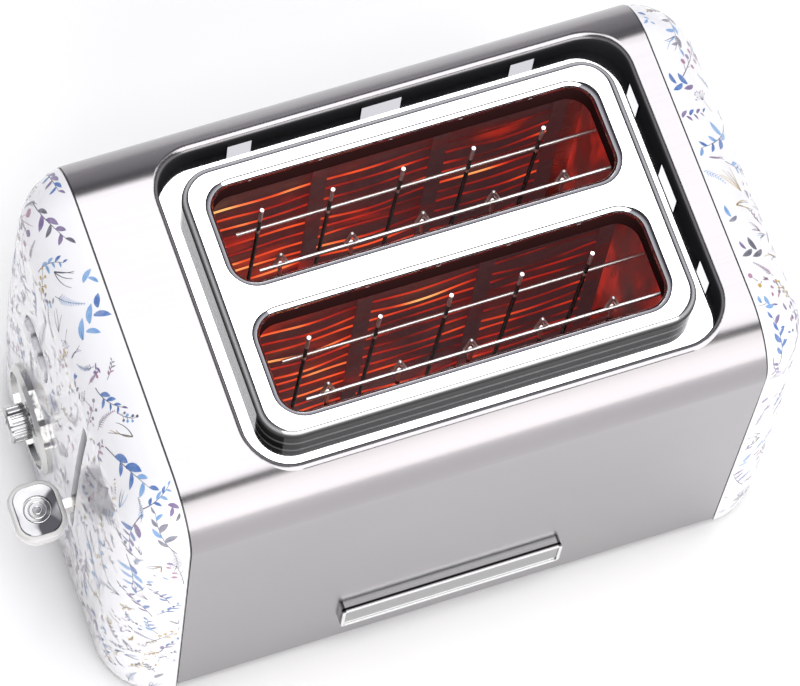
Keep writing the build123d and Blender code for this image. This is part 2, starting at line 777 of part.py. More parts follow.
def make_magnet():
    """The holding magnet on the base, with its coil below the two pole faces."""
    half = magnet_size / 2
    core = box((rod_x - half, magnet_y - half, base_top), (rod_x + half, magnet_y + half, carrier_low - clearance))
    slot = box((rod_x - half - 1, magnet_y - 1.5, base_top + 12), (rod_x + half + 1, magnet_y + 1.5, carrier_low))
    return core - slot


def make_arm():
    """The flat bar from the carriage out through the cap to the lever."""
    half = arm_thickness / 2
    return box(
        (-paddle_tip_x + paddle_length / 2, lever_y - half, arm_z - arm_height / 2),
        (carrier_x - carrier_thickness, lever_y + half, arm_z + arm_height / 2),
    )


def make_paddle():
    """The lever's pad, a thick rounded square with a pocket for its insert."""
    x = -paddle_tip_x + paddle_length / 2
    z = arm_z - arm_height / 2 + paddle_drop
    pad = rounded(paddle_length, paddle_depth, paddle_round, z, paddle_thickness, x=x, y=lever_y)
    pad = fillet(pad.faces().sort_by(Axis.Z)[-1].edges(), 1.2)
    pad = chamfer(pad.faces().sort_by(Axis.Z)[0].edges(), 1.4)
    return pad - insert_blank(0) - make_arm()


def insert_blank(extra):
    """The block that the insert is cut from, which is also its pocket in the pad."""
    x = -paddle_tip_x + paddle_length / 2
    z = arm_z - arm_height / 2 + paddle_drop + paddle_thickness
    length, depth = paddle_length - 2 * insert_inset, paddle_depth - 2 * insert_inset
    corner = paddle_round - insert_inset
    return rounded(length, depth, corner, z - insert_depth, insert_depth + insert_proud, x=x, y=lever_y)


def make_insert():
    """The chrome insert in the pad, with a shallow round dish and no mark."""
    blank = insert_blank(0) - make_arm()
    blank = chamfer(blank.faces().sort_by(Axis.Z)[-1].edges(), 0.3)
    x = -paddle_tip_x + paddle_length / 2
    top = arm_z - arm_height / 2 + paddle_drop + paddle_thickness + insert_proud
    return blank - Pos(x, lever_y, top) * Cylinder(dish_radius, 2 * dish_depth)


def make_spring():
    """The long spring that lifts the carriage, hung from the shelf and hooked to the carriage's lug."""
    low, high = carrier_low + carrier_thickness, shelf_z
    turns = spring_turns
    path = Helix((high - low - spring_wire) / turns, high - low - spring_wire, spring_radius - spring_wire / 2)
    start = Plane(origin=path @ 0, z_dir=path % 0)
    coil = sweep(start * Rectangle(spring_wire, spring_wire), path, is_frenet=True)
    return Pos(rod_x, spring_y, low + spring_wire / 2) * coil


def make_static():
    """Every piece that stays still."""
    pieces = {
        "wrap": make_wrap(), "slot_plate": make_slot_plate(), "left_cap": make_left_cap(),
        "right_cap": make_cap(1), "base_plate": make_base(), "left_bulkhead": make_left_bulkhead(),
        "right_bulkhead": make_bulkhead(bulkhead_right_x, 1), "dial_bezel": make_bezel(),
        "button_panel": make_button_panel(), "circuit_board": make_circuit_board(),
        "dial_switch": make_dial_switch(), "latch_magnet": make_magnet(), "badge": make_badge(),
        "cord_grommet": make_grommet(), "lift_spring": make_spring(),
        "guide_rod": rod((rod_x, 0, base_top), (rod_x, 0, shelf_z), rod_radius),
    }
    for tab in make_tabs():
        pieces["slot_plate"] += tab
    for name, y in board_ys.items():
        pieces[f"heater_board_{name}"] = make_board(y)
        pieces[f"heater_ribbon_{name}"] = make_winding(y)
    for name, side in (("front", -1), ("back", 1)):
        y_low, y_high = sorted((side * reflector_y, side * (reflector_y + reflector_sheet)))
        pieces[f"{name}_reflector"] = box(
            (bulkhead_left_x, y_low, reflector_low), (bulkhead_right_x, y_high, plate_underside)
        )
    for n, place in enumerate(foot_places):
        pieces[f"foot_{n + 1}"] = make_foot(*place)
    for n, place in enumerate(screw_places):
        pieces[f"base_screw_{n + 1}"] = make_screw(*place)
    return pieces


def make_moving():
    """Every piece that slides or turns."""
    pieces = {
        "carriage_plate": make_carrier(), "latch_armature": make_armature(), "lever_arm": make_arm(),
        "lever_pad": make_paddle(), "lever_insert": make_insert(), "dial_knob": make_knob(),
        "crumb_tray": make_tray(),
    }
    for name, slot_y in zip(("front", "back"), slot_ys):
        pieces[f"bread_rack_{name}"] = make_rack(slot_y)
        pieces[f"guard_{name}_slot_front"] = make_guard(slot_y, -1)
        pieces[f"guard_{name}_slot_back"] = make_guard(slot_y, 1)
    for name, y in zip(button_names, button_ys):
        pieces[name] = make_button(y)
    return pieces


if __name__ == "__main__":
    os.makedirs("parts", exist_ok=True)
    for name, shape in {**make_static(), **make_moving()}.items():
        moved = Pos(origin_x, origin_y, 0) * shape
        export_step(moved, f"parts/{name}.step")
    print("least gap of a heater ribbon to itself, mm:", round(least_gap(ribbon_points(0.0)), 2))
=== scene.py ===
import math
import random

import bpy
from mathutils import Matrix, Vector
from mathutils.bvhtree import BVHTree


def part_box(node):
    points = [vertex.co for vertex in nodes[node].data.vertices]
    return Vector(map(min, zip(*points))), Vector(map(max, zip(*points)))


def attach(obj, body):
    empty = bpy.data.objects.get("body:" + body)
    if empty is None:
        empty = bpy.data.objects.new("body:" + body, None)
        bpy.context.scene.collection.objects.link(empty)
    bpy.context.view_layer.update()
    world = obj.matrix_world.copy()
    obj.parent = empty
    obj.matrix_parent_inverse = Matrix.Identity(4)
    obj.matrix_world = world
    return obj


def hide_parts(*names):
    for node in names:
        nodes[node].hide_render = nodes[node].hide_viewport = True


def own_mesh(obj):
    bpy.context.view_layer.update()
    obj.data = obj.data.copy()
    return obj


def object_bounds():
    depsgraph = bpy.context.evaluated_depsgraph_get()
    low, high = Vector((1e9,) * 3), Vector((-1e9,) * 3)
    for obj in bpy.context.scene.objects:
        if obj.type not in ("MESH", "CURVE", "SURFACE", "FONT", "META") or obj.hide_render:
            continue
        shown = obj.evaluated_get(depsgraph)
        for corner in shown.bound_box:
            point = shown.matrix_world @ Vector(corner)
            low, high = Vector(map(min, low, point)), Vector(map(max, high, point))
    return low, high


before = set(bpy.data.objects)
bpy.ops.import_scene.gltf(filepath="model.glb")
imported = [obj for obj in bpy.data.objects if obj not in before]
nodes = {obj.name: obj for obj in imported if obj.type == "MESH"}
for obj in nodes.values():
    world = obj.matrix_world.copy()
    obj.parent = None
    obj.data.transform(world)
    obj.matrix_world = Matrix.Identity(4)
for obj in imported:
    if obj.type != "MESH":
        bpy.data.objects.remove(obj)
cad_low, cad_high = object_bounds()

# The body's middle lies here in the row frame, because the lever reaches further than the other end
MIDDLE_X = 0.0113977
MIDDLE_Y = -0.001
MM = 0.001

# Plan masks for the painted shade on the wrap and the slot plate: a middle, and half sizes in metres
OPENING_X = MIDDLE_X + 0.00925
LIP_HALF = (0.0903, 0.0630)
RECESS_HALF = (0.0872, 0.0600)
SLOT_HALF = (0.0751, 0.0226)
SLOT_OFFSETS = (-0.0255, 0.0255)
THROAT_HEIGHTS = (0.15, 0.1684)
# Half the distance between the two lines where the caps meet the wrap
JOINT_HALF = 0.10765
# How much finer noise runs across brush lines than along them
BRUSH_STRETCH = (6, 900, 900)

# Camera, fitted to the photograph about the middle of the body
CAMERA_PLACE = (-0.35827, -0.62454, 1.84208)
CAMERA_AZIMUTH = math.radians(-29.94)
CAMERA_ELEVATION = math.radians(67.71)
CAMERA_ROLL = math.radians(11.4)
CAMERA_LENS = 233.26


def body_point(x, y, z):
    """A point given in millimetres about the middle of the body, in the row frame."""
    return Vector((MIDDLE_X + x * MM, MIDDLE_Y + y * MM, z * MM))


# ---- materials


class Shader:
    """A node material whose last node is a Principled shader."""

    def __init__(self, name, color=(0.8, 0.8, 0.8), metal=0.0, rough=0.5, **inputs):
        self.mat = bpy.data.materials.new(name)
        self.mat.use_nodes = True
        self.tree = self.mat.node_tree
        self.bsdf = next(n for n in self.tree.nodes if n.type == "BSDF_PRINCIPLED")
        self.set("Base Color", (*color, 1.0))
        self.set("Metallic", metal)
        self.set("Roughness", rough)
        for key, value in inputs.items():
            self.set(key.replace("_", " "), value)

    def set(self, name, value):
        self.bsdf.inputs[name].default_value = value

    def node(self, kind, **values):
        node = self.tree.nodes.new(kind)
        for key, value in values.items():
            if hasattr(node, key):
                setattr(node, key, value)
            else:
                node.inputs[key.replace("_", " ")].default_value = value
        return node

    def link(self, source, target):
        self.tree.links.new(source, target)

    def coords(self, stretch=(1, 1, 1)):
        """Object coordinates in metres, stretched along each axis."""
        place = self.node("ShaderNodeTexCoord")
        mapping = self.node("ShaderNodeMapping")
        mapping.inputs["Scale"].default_value = stretch
        self.link(place.outputs["Object"], mapping.inputs["Vector"])
        return mapping.outputs["Vector"]

    def noise(self, scale, detail=4.0, stretch=(1, 1, 1), rough=0.55):
        tex = self.node("ShaderNodeTexNoise", Scale=scale, Detail=detail, Roughness=rough)
        self.link(self.coords(stretch), tex.inputs["Vector"])
        return tex.outputs["Fac"]

    def ramp(self, source, stops):
        """A colour ramp from (position, colour) pairs."""
        ramp = self.node("ShaderNodeValToRGB")
        elements = ramp.color_ramp.elements
        while len(elements) < len(stops):
            elements.new(0.5)
        for element, (place, color) in zip(elements, stops):
            element.position = place
            element.color = (*color, 1.0)
        self.link(source, ramp.inputs["Fac"])
        return ramp.outputs["Color"]

    def span(self, source, low, high):
        """Maps 0..1 to low..high."""
        node = self.node("ShaderNodeMapRange")
        node.inputs["To Min"].default_value = low
        node.inputs["To Max"].default_value = high
        self.link(source, node.inputs["Value"])
        return node.outputs["Result"]

    def tint(self, source, dark, light):
        """Colour that wanders between two tones."""
        self.link(self.ramp(source, [(0.3, dark), (0.7, light)]), self.bsdf.inputs["Base Color"])

    def roughness(self, source, low, high):
        self.link(self.span(source, low, high), self.bsdf.inputs["Roughness"])

    def math(self, kind, *values):
        """A Math node; each value is a number or a socket."""
        node = self.node("ShaderNodeMath", operation=kind)
        for socket, value in zip(node.inputs, values):
            if isinstance(value, (int, float)):
                socket.default_value = value
            else:
                self.link(value, socket)
        return node.outputs["Value"]

    def axis(self, name):
        """One of the object coordinates, in metres."""
        split = self.node("ShaderNodeSeparateXYZ")
        self.link(self.coords(), split.inputs["Vector"])
        return split.outputs[name]

    def upright(self, starts=0.86, full=0.3):
        """1 on upright faces and 0 on level ones, going by the upward share of their normals."""
        place = self.node("ShaderNodeNewGeometry")
        shares = []
        for name in ("Normal", "True Normal"):
            split = self.node("ShaderNodeSeparateXYZ")
            self.link(place.outputs[name], split.inputs["Vector"])
            shares.append(self.math("ABSOLUTE", split.outputs["Z"]))
        level = self.math("MAXIMUM", *shares)
        node = self.node("ShaderNodeMapRange")
        for name, value in (("From Min", starts), ("From Max", full), ("To Min", 0.0), ("To Max", 1.0)):
            node.inputs[name].default_value = value
        self.link(level, node.inputs["Value"])
        return node.outputs["Result"]

    def band(self, name, low, high):
        """1 where an object coordinate lies between two places, given in metres, and 0 elsewhere."""
        return self.math("COMPARE", self.axis(name), (low + high) / 2, (high - low) / 2)

    def bands(self, name, stops):
        """Tones that change with an object coordinate, from (place in metres, tone) pairs."""
        low, high = stops[0][0], stops[-1][0]
        share = self.math("DIVIDE", self.math("SUBTRACT", self.axis(name), low), high - low)
        greys = [((place - low) / (high - low), (tone, tone, tone)) for place, tone in stops]
        return self.ramp(share, greys)

    def darken(self, mask, color):
        """Paints shade and painted reflections into the colour: turns the surface to a dull, non-metal
        colour, given as numbers or a socket, where the mask is 1.
        """
        mix = self.node("ShaderNodeMix", data_type="RGBA")
        base = self.bsdf.inputs["Base Color"]
        self.link(mask, mix.inputs[0])
        if base.is_linked:
            self.link(base.links[0].from_socket, mix.inputs[6])
        else:
            mix.inputs[6].default_value = base.default_value
        if isinstance(color, tuple):
            mix.inputs[7].default_value = (*color, 1.0)
        else:
            self.link(color, mix.inputs[7])
        self.link(mix.outputs[2], base)
        clear = self.math("SUBTRACT", 1.0, mask)
        self.link(clear, self.bsdf.inputs["Metallic"])
        self.link(self.math("MULTIPLY", clear, 0.5), self.bsdf.inputs["Specular IOR Level"])

    def within(self, x, y, half_x, half_y):
        """1 inside an upright block about a point, given in metres, and 0 outside it."""
        across = self.math("COMPARE", self.axis("X"), x, half_x)
        return self.math("MULTIPLY", across, self.math("COMPARE", self.axis("Y"), y, half_y))

    def bump(self, source, depth, strength=1.0):
        """Raises the surface by up to depth metres."""
        node = self.node("ShaderNodeBump", Strength=strength, Distance=depth)
        self.link(source, node.inputs["Height"])
        self.link(node.outputs["Normal"], self.bsdf.inputs["Normal"])


def brushed(name, color, rough, spread=0.08, stretch=BRUSH_STRETCH, depth=2e-6):
    """Steel with fine brush lines along X."""
    s = Shader(name, color, metal=1.0, rough=rough)
    lines = s.noise(1.0, 3.0, stretch)
    s.roughness(lines, rough - spread, rough + spread)
    s.tint(s.noise(14.0, 3.0), tuple(c * 0.96 for c in color), color)
    s.bump(lines, depth, 0.35)
    return s.mat


def chrome(name, color, rough):
    """Plated metal with a faint ripple."""
    s = Shader(name, color, metal=1.0, rough=rough)
    s.roughness(s.noise(90.0, 4.0), rough * 0.6, rough * 1.7)
    s.tint(s.noise(25.0, 2.0), tuple(c * 0.98 for c in color), color)
    s.bump(s.noise(70.0, 2.0), 6e-6, 0.3)
    return s.mat


def plastic(name, color, rough, coat=0.0, grain=0.0):
    """Moulded plastic, grained where grain gives a depth in metres, and smooth otherwise."""
    s = Shader(name, color, rough=rough, Coat_Weight=coat, Coat_Roughness=0.04)
    s.tint(s.noise(30.0, 3.0), tuple(c * 0.97 for c in color), color)
    s.roughness(s.noise(120.0, 4.0), rough * 0.8, rough * 1.25)
    s.bump(s.noise(1800.0 if grain else 60.0, 2.0), grain or 4e-6, 0.3)
    return s.mat


def badge_steel():
    """Satin plate with a painted highlight on its front rim and painted shade on its sides."""
    s = Shader("badge_steel", metal=1.0)
    lines = s.noise(1.0, 3.0, BRUSH_STRETCH)
    s.roughness(lines, 0.15, 0.25)
    s.bump(lines, 2e-6, 0.3)
    # Painted light and shade by depth: a bright front rim, a grey band, near-black sides, then grey further
    # back.
    tones = s.bands("Y", [(-0.0801, 0.9), (-0.07968, 0.9), (-0.07962, 0.36), (-0.0793, 0.36),
                          (-0.0792, 0.012), (-0.0784, 0.012), (-0.0782, 0.30), (-0.077, 0.34)])
    s.link(tones, s.bsdf.inputs["Base Color"])
    return s.mat


def wrap_steel():
    """Satin steel, with painted shade on the lip that turns down into the recess."""
    s = Shader("wrap_steel", metal=1.0)
    lines = s.noise(1.0, 3.0, BRUSH_STRETCH)
    s.roughness(lines, 0.17, 0.26)
    s.tint(s.noise(9.0, 3.0), (0.325, 0.312, 0.325), (0.345, 0.332, 0.343))
    s.bump(lines, 2e-6, 0.35)
    # Painted shade: the lip's upright faces are turned near-black.
    lip = s.within(OPENING_X, MIDDLE_Y, *LIP_HALF)
    s.darken(s.math("MULTIPLY", lip, s.upright(0.93, 0.5)), (0.03, 0.03, 0.033))
    return s.mat


def pan_chrome():
    """Bright plating, with painted shade on its upright walls and in the slot throats, and painted
    reflections, dark with thin bright stripes, on the sides of the middle block.
    """
    s = Shader("pan_chrome", metal=1.0)
    s.roughness(s.noise(90.0, 4.0), 0.03, 0.08)
    s.tint(s.noise(25.0, 2.0), (0.84, 0.84, 0.86), (0.88, 0.88, 0.9))
    s.bump(s.noise(70.0, 2.0), 6e-6, 0.3)
    inside = s.within(OPENING_X, MIDDLE_Y, *RECESS_HALF)
    slots = s.math("ADD", *[s.within(OPENING_X, MIDDLE_Y + y, *SLOT_HALF) for y in SLOT_OFFSETS])
    # Painted reflection: near-black bands with thin bright stripes up the sides of the middle block.
    painted_reflection_streaks = s.bands("Z", [(0.1600, 0.008), (0.1622, 0.010), (0.1628, 0.26), (0.1636, 0.28), (0.1642, 0.010),
                            (0.1682, 0.012), (0.1700, 0.08), (0.1715, 0.25)])
    # Painted shade on the upright walls outside the recess.
    s.darken(s.math("MULTIPLY", s.math("SUBTRACT", 1.0, inside), s.upright()), (0.17, 0.17, 0.18))
    block = s.math("MULTIPLY", inside, s.math("SUBTRACT", 1.0, slots))
    # Painted shade in the slot throats, tinted faintly red as by the heaters' glow.
    throat = s.math("MULTIPLY", slots, s.band("Z", *THROAT_HEIGHTS))
    color = s.node("ShaderNodeMix", data_type="RGBA")
    s.link(throat, color.inputs[0])
    s.link(painted_reflection_streaks, color.inputs[6])
    color.inputs[7].default_value = (0.035, 0.012, 0.012, 1.0)
    # Painted shade and reflection on the upright sides of the middle block.
    sides = s.math("MULTIPLY", s.math("MULTIPLY", block, s.upright(0.96, 0.55)), 0.98)
    s.darken(s.math("MAXIMUM", sides, throat), color.outputs[2])
    return s.mat


def cap_gloss():
    """Glossy white moulding, with a dark line where it meets the wrap."""
    s = Shader("white_gloss", rough=0.2, Coat_Weight=0.5, Coat_Roughness=0.04)
    s.tint(s.noise(30.0, 3.0), (0.755, 0.755, 0.785), (0.78, 0.78, 0.81))
    s.roughness(s.noise(120.0, 4.0), 0.16, 0.24)
    s.bump(s.noise(60.0, 2.0), 4e-6, 0.3)
    joint = s.node("ShaderNodeMix", data_type="RGBA")
    s.link(s.band("X", MIDDLE_X - JOINT_HALF, MIDDLE_X + JOINT_HALF), joint.inputs[0])
    s.link(s.bsdf.inputs["Base Color"].links[0].from_socket, joint.inputs[6])
    joint.inputs[7].default_value = (0.06, 0.06, 0.07, 1.0)
    s.link(joint.outputs[2], s.bsdf.inputs["Base Color"])
    return s.mat


WRAP = wrap_steel()
PAN = pan_chrome()
TRIM = chrome("trim_chrome", (0.55, 0.55, 0.54), 0.08)
WHITE = cap_gloss()
BLACK = plastic("black_plastic", (0.03, 0.03, 0.033), 0.45, grain=3e-5)
ZINC = brushed("inner_steel", (0.42, 0.42, 0.43), 0.34, stretch=(60, 60, 60), depth=8e-6)
BRIGHT = brushed("reflector_metal", (0.6, 0.59, 0.57), 0.25)
PEARL = plastic("pearl_plastic", (0.54, 0.535, 0.53), 0.2, coat=0.7)
BUTTON = plastic("button_plastic", (0.6, 0.6, 0.63), 0.22, coat=0.5)
PANEL = plastic("panel_plastic", (0.5, 0.5, 0.54), 0.25, coat=0.5)
ARM = brushed("arm_steel", (0.8, 0.78, 0.75), 0.22)
CIRCUIT = plastic("circuit_board", (0.03, 0.16, 0.07), 0.4, grain=2e-5)
IRON = brushed("magnet_iron", (0.16, 0.16, 0.17), 0.4, stretch=(80, 80, 80))
RUBBER = plastic("rubber", (0.02, 0.02, 0.02), 0.7, grain=4e-5)
KNOB = chrome("knob_chrome", (0.5, 0.5, 0.51), 0.12)
BADGE = badge_steel()
TRAY = brushed("tray_steel", (0.5, 0.5, 0.51), 0.3)


def guard_wire():
    """Plated wire, bright at its rails and tips, with painted shade below and between the rails, and mottled
    with faint brown stains.
    """
    s = Shader("guard_wire", metal=1.0)
    s.roughness(s.noise(300.0, 3.0), 0.34, 0.5)
    # Painted shade: near-black bands below the lowest rail and between the rails.
    tones = s.bands("Z", [(0.1368, 0.035), (0.1374, 0.9), (0.1398, 0.9), (0.1404, 0.05), (0.1490, 0.06),
                          (0.1502, 0.9), (0.1660, 0.95)])
    mottle = s.node("ShaderNodeMix", data_type="RGBA", blend_type="MULTIPLY")
    mottle.inputs[0].default_value = 1.0
    s.link(tones, mottle.inputs[6])
    stains = s.ramp(s.noise(160.0, 3.0), [(0.3, (0.86, 0.80, 0.78)), (0.7, (1.0, 0.98, 0.97))])
    s.link(stains, mottle.inputs[7])
    s.link(mottle.outputs[2], s.bsdf.inputs["Base Color"])
    s.bump(s.noise(500.0, 2.0), 8e-6, 0.4)
    return s.mat


def insert_chrome():
    """Turned and polished plate, with a painted reflection of the studio in light and dark patches."""
    s = Shader("insert_chrome", metal=1.0)
    s.roughness(s.noise(90.0, 3.0), 0.06, 0.14)
    # Painted reflection: near-black and grey patches put into the colour.
    patches = s.ramp(s.noise(95.0, 1.0), [
        (0.40, (0.035, 0.035, 0.04)), (0.50, (0.26, 0.26, 0.27)), (0.7, (0.34, 0.34, 0.35)),
    ])
    s.link(patches, s.bsdf.inputs["Base Color"])
    s.bump(s.noise(120.0, 1.0), 4e-5, 0.5)
    return s.mat


WIRE = guard_wire()
INSERT = insert_chrome()


def hotter_left(s, ribbon_heat, gain):
    """Adds a little heat towards the control end."""
    return s.math("ADD", ribbon_heat, s.math("MULTIPLY", s.math("SUBTRACT", 0.02, s.axis("X")), gain))


def mica():
    """Layered mica sheet, dark maroon, with a painted red glow in soft patches that stands in for the light
    of the ribbon in front of it.
    """
    s = Shader("mica", (0.05, 0.02, 0.015), rough=0.42, Specular_IOR_Level=0.5)
    flecks = s.noise(260.0, 6.0, (1, 1, 1), 0.7)
    sheet = s.ramp(flecks, [
        (0.3, (0.020, 0.008, 0.007)), (0.6, (0.06, 0.022, 0.016)), (0.8, (0.12, 0.05, 0.035)),
    ])
    s.link(sheet, s.bsdf.inputs["Base Color"])
    s.roughness(s.noise(90.0), 0.3, 0.6)
    s.bump(flecks, 6e-5, 0.6)
    # Painted glow: red emission standing in for the ribbon's light on the sheet.
    ribbon_heat = hotter_left(s, s.noise(24.0, 2.0, (1.0, 1.0, 2.2), 0.5), 0.8)
    glow = s.ramp(ribbon_heat, [
        (0.48, (0.036, 0.014, 0.016)), (0.62, (0.07, 0.010, 0.010)), (0.78, (0.40, 0.018, 0.008)),
    ])
    s.link(glow, s.bsdf.inputs["Emission Color"])
    s.set("Emission Strength", 1.0)
    return s.mat


def glowing():
    """Ribbon that glows yellow-orange where it's hottest and dull red elsewhere."""
    s = Shader("glowing_ribbon", (0.12, 0.03, 0.02), metal=0.6, rough=0.5)
    ribbon_heat = hotter_left(s, s.noise(26.0, 2.0, (1.0, 1.0, 2.6), 0.6), 1.6)
    color = s.ramp(ribbon_heat, [
        (0.36, (0.10, 0.010, 0.010)), (0.50, (0.50, 0.018, 0.010)),
        (0.63, (0.95, 0.09, 0.02)), (0.76, (1.0, 0.46, 0.14)),
    ])
    s.link(color, s.bsdf.inputs["Emission Color"])
    s.link(s.span(ribbon_heat, 0.2, 1.5), s.bsdf.inputs["Emission Strength"])
    return s.mat


def steel_with_painted_glow():
    """The end wall beyond the slots, with a painted reflection of the glow in soft red patches of emission.
    """
    s = Shader("steel_with_painted_glow", (0.30, 0.27, 0.26), metal=1.0, rough=0.3)
    s.roughness(s.noise(70.0, 4.0), 0.22, 0.4)
    patches = s.noise(36.0, 3.0, (1.0, 1.4, 0.5), 0.6)
    # Painted reflection of the heaters' glow, put in as red emission.
    glow = s.ramp(patches, [
        (0.40, (0.040, 0.012, 0.012)), (0.54, (0.12, 0.008, 0.006)), (0.66, (0.42, 0.018, 0.010)),
    ])
    s.link(glow, s.bsdf.inputs["Emission Color"])
    s.set("Emission Strength", 0.9)
    s.bump(patches, 2e-5, 0.5)
    return s.mat


PAINTED_GLOW_STEEL = steel_with_painted_glow()
MICA = mica()
GLOW = glowing()

FINISH = {
    WRAP: ["wrap"],
    PAN: ["slot_plate"],
    WHITE: ["left_cap", "right_cap"],
    BLACK: ["base_plate", "dial_switch"],
    PAINTED_GLOW_STEEL: ["right_bulkhead"],
    ZINC: ["left_bulkhead", "carriage_plate", "lift_spring", "guide_rod", "base_screw_1", "base_screw_2",
           "base_screw_3", "base_screw_4", "bread_rack_front", "bread_rack_back"],
    BRIGHT: ["front_reflector", "back_reflector"],
    TRIM: ["dial_bezel"],
    KNOB: ["dial_knob"],
    BADGE: ["badge"],
    INSERT: ["lever_insert"],
    PEARL: ["lever_pad"],
    BUTTON: ["reheat_button", "defrost_button", "cancel_button"],
    PANEL: ["button_panel"],
    ARM: ["lever_arm"],
    CIRCUIT: ["circuit_board"],
    IRON: ["latch_magnet", "latch_armature"],
    RUBBER: ["cord_grommet", "foot_1", "foot_2", "foot_3", "foot_4"],
    MICA: ["heater_board_front", "heater_board_centre", "heater_board_back"],
    GLOW: ["heater_ribbon_front", "heater_ribbon_centre", "heater_ribbon_back"],
    WIRE: [name for name in nodes if name.startswith("guard_")],
    TRAY: ["crumb_tray"],
}
for material, names in FINISH.items():
    for name in names:
        nodes[name].data.materials.clear()
        nodes[name].data.materials.append(material)


# ---- pieces shown in place of plain CAD forms


def add_piece(name, verts, faces, materials, body="housing", face_materials=None, smooth=True):
    """A new mesh, in metres in the row frame, that moves with a body."""
    mesh = bpy.data.meshes.new(name)
    mesh.from_pydata(verts, [], faces)
    for material in materials:
        mesh.materials.append(material)
    if face_materials:
        mesh.polygons.foreach_set("material_index", face_materials)
    mesh.polygons.foreach_set("use_smooth", [smooth] * len(faces))
    mesh.update()
    obj = bpy.data.objects.new(name, mesh)
    bpy.context.scene.collection.objects.link(obj)
    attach(obj, body)
    return obj


# Ribbons, about the middle of the body, in millimetres; each run bows between the strips that hold it
RIBBON_LOOPS = 11
RIBBON_PITCH = 9.0
RIBBON_LOW = 47.0
RIBBON_X = (-59.6, 78.1)
RIBBON_OFFSET = 1.45
RIBBON_WIDTH = 1.3
RIBBON_THICKNESS = 0.3
RIBBON_STEP = 3.5
LONG_SPAN = 20
STRIP_XS = (-17.5, 28.5, 74.5)
BOARD_YS = {"front": -50.0, "centre": 0.0, "back": 50.0}
FIRST_RIBBON_SEED = 41


def ribbon_run(start, end, out, rng):
    """Points of one run along a board, bowed up or down and outward between the strips that hold it."""
    stops = sorted([start[0], end[0], *STRIP_XS], reverse=start[0] > end[0])
    points = []
    for a, b in zip(stops, stops[1:]):
        rise = wave = bulge = 0.0
        if abs(b - a) > LONG_SPAN:
            rise, wave, bulge = rng.uniform(-1.6, 1.9), rng.uniform(-0.7, 0.7), rng.uniform(0.1, 1.3)
        steps = max(2, round(abs(b - a) / RIBBON_STEP))
        for n in range(steps):
            t = n / steps
            x = a + (b - a) * t
            share = (x - start[0]) / (end[0] - start[0])
            z = start[2] + (end[2] - start[2]) * share
            z += rise * math.sin(math.pi * t) + wave * math.sin(2 * math.pi * t)
            points.append((x, start[1] + out * bulge * math.sin(math.pi * t) ** 2, z))
    points.append(end)
    return points


def make_ribbon(name, board_y, seed):
    """One long thin ribbon, wound round its board and warped by heat."""
    rng = random.Random(seed)
    low, high = RIBBON_X
    path = []
    for n in range(RIBBON_LOOPS):
        z = RIBBON_LOW + n * RIBBON_PITCH
        front, back = board_y - RIBBON_OFFSET, board_y + RIBBON_OFFSET
        half = z + RIBBON_PITCH / 2
        path += ribbon_run((low, front, z), (high, front, half), -1, rng)
        path += ribbon_run((high, back, half), (low, back, z + RIBBON_PITCH), 1, rng)
    verts, faces = [], []
    up = Vector((0, 0, 1))
    for n, point in enumerate(path):
        before, after = Vector(path[max(n - 1, 0)]), Vector(path[min(n + 1, len(path) - 1)])
        along = (after - before).normalized()
        wide = (up - along * up.dot(along)).normalized() * RIBBON_WIDTH / 2
        thick = along.cross(up).normalized() * RIBBON_THICKNESS / 2
        for a, b in ((-1, -1), (1, -1), (1, 1), (-1, 1)):
            verts.append(body_point(*(Vector(point) + wide * a + thick * b)))
        if n:
            k = 4 * (n - 1)
            faces += [(k + i, k + (i + 1) % 4, k + 4 + (i + 1) % 4, k + 4 + i) for i in range(4)]
    end = len(verts) - 4
    faces += [(3, 2, 1, 0), (end, end + 1, end + 2, end + 3)]
    obj = add_piece(name + "_coil", verts, faces, [GLOW], smooth=False)
    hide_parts(name)


for number, (name, board_y) in enumerate(BOARD_YS.items()):
    make_ribbon("heater_ribbon_" + name, board_y, FIRST_RIBBON_SEED + number)


# Lift spring, about the middle of the body, in millimetres
SPRING_PLACE = (-88.1, 12.0)
SPRING_ENDS = (28.9, 156.4)
SPRING_RADIUS = 2.85
SPRING_WIRE = 0.35
SPRING_TURNS = 22
STEPS_PER_TURN = 20
# Corners round a wire
AROUND = 8


def make_spring():
    """A round-wire spring that hangs from a shelf."""
    low, high = SPRING_ENDS
    steps = SPRING_TURNS * STEPS_PER_TURN
    up = Vector((0, 0, 1))
    verts, faces = [], []
    for n in range(steps + 1):
        turn = 2 * math.pi * SPRING_TURNS * n / steps
        out = Vector((math.cos(turn), math.sin(turn), 0))
        centre = Vector((*SPRING_PLACE, low + (high - low) * n / steps)) + out * SPRING_RADIUS
        for j in range(AROUND):
            roll = 2 * math.pi * j / AROUND
            verts.append(body_point(*(centre + (out * math.cos(roll) + up * math.sin(roll)) * SPRING_WIRE)))
        if n:
            a, b = (n - 1) * AROUND, n * AROUND
            faces += [(a + j, a + (j + 1) % AROUND, b + (j + 1) % AROUND, b + j) for j in range(AROUND)]
    last = steps * AROUND
    faces += [tuple(range(AROUND - 1, -1, -1)), tuple(range(last, last + AROUND))]
    obj = add_piece("lift_spring_coil", verts, faces, [ZINC])
    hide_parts("lift_spring")
    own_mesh(obj)


make_spring()


# Rings in the lever's insert, in millimetres
RING_RADII = (1.5, 3.2, 4.9)
RING_TUBE = 0.3
RING_STEPS = 48
# How far their middle lies under the insert's top
RING_DEPTH = 0.5


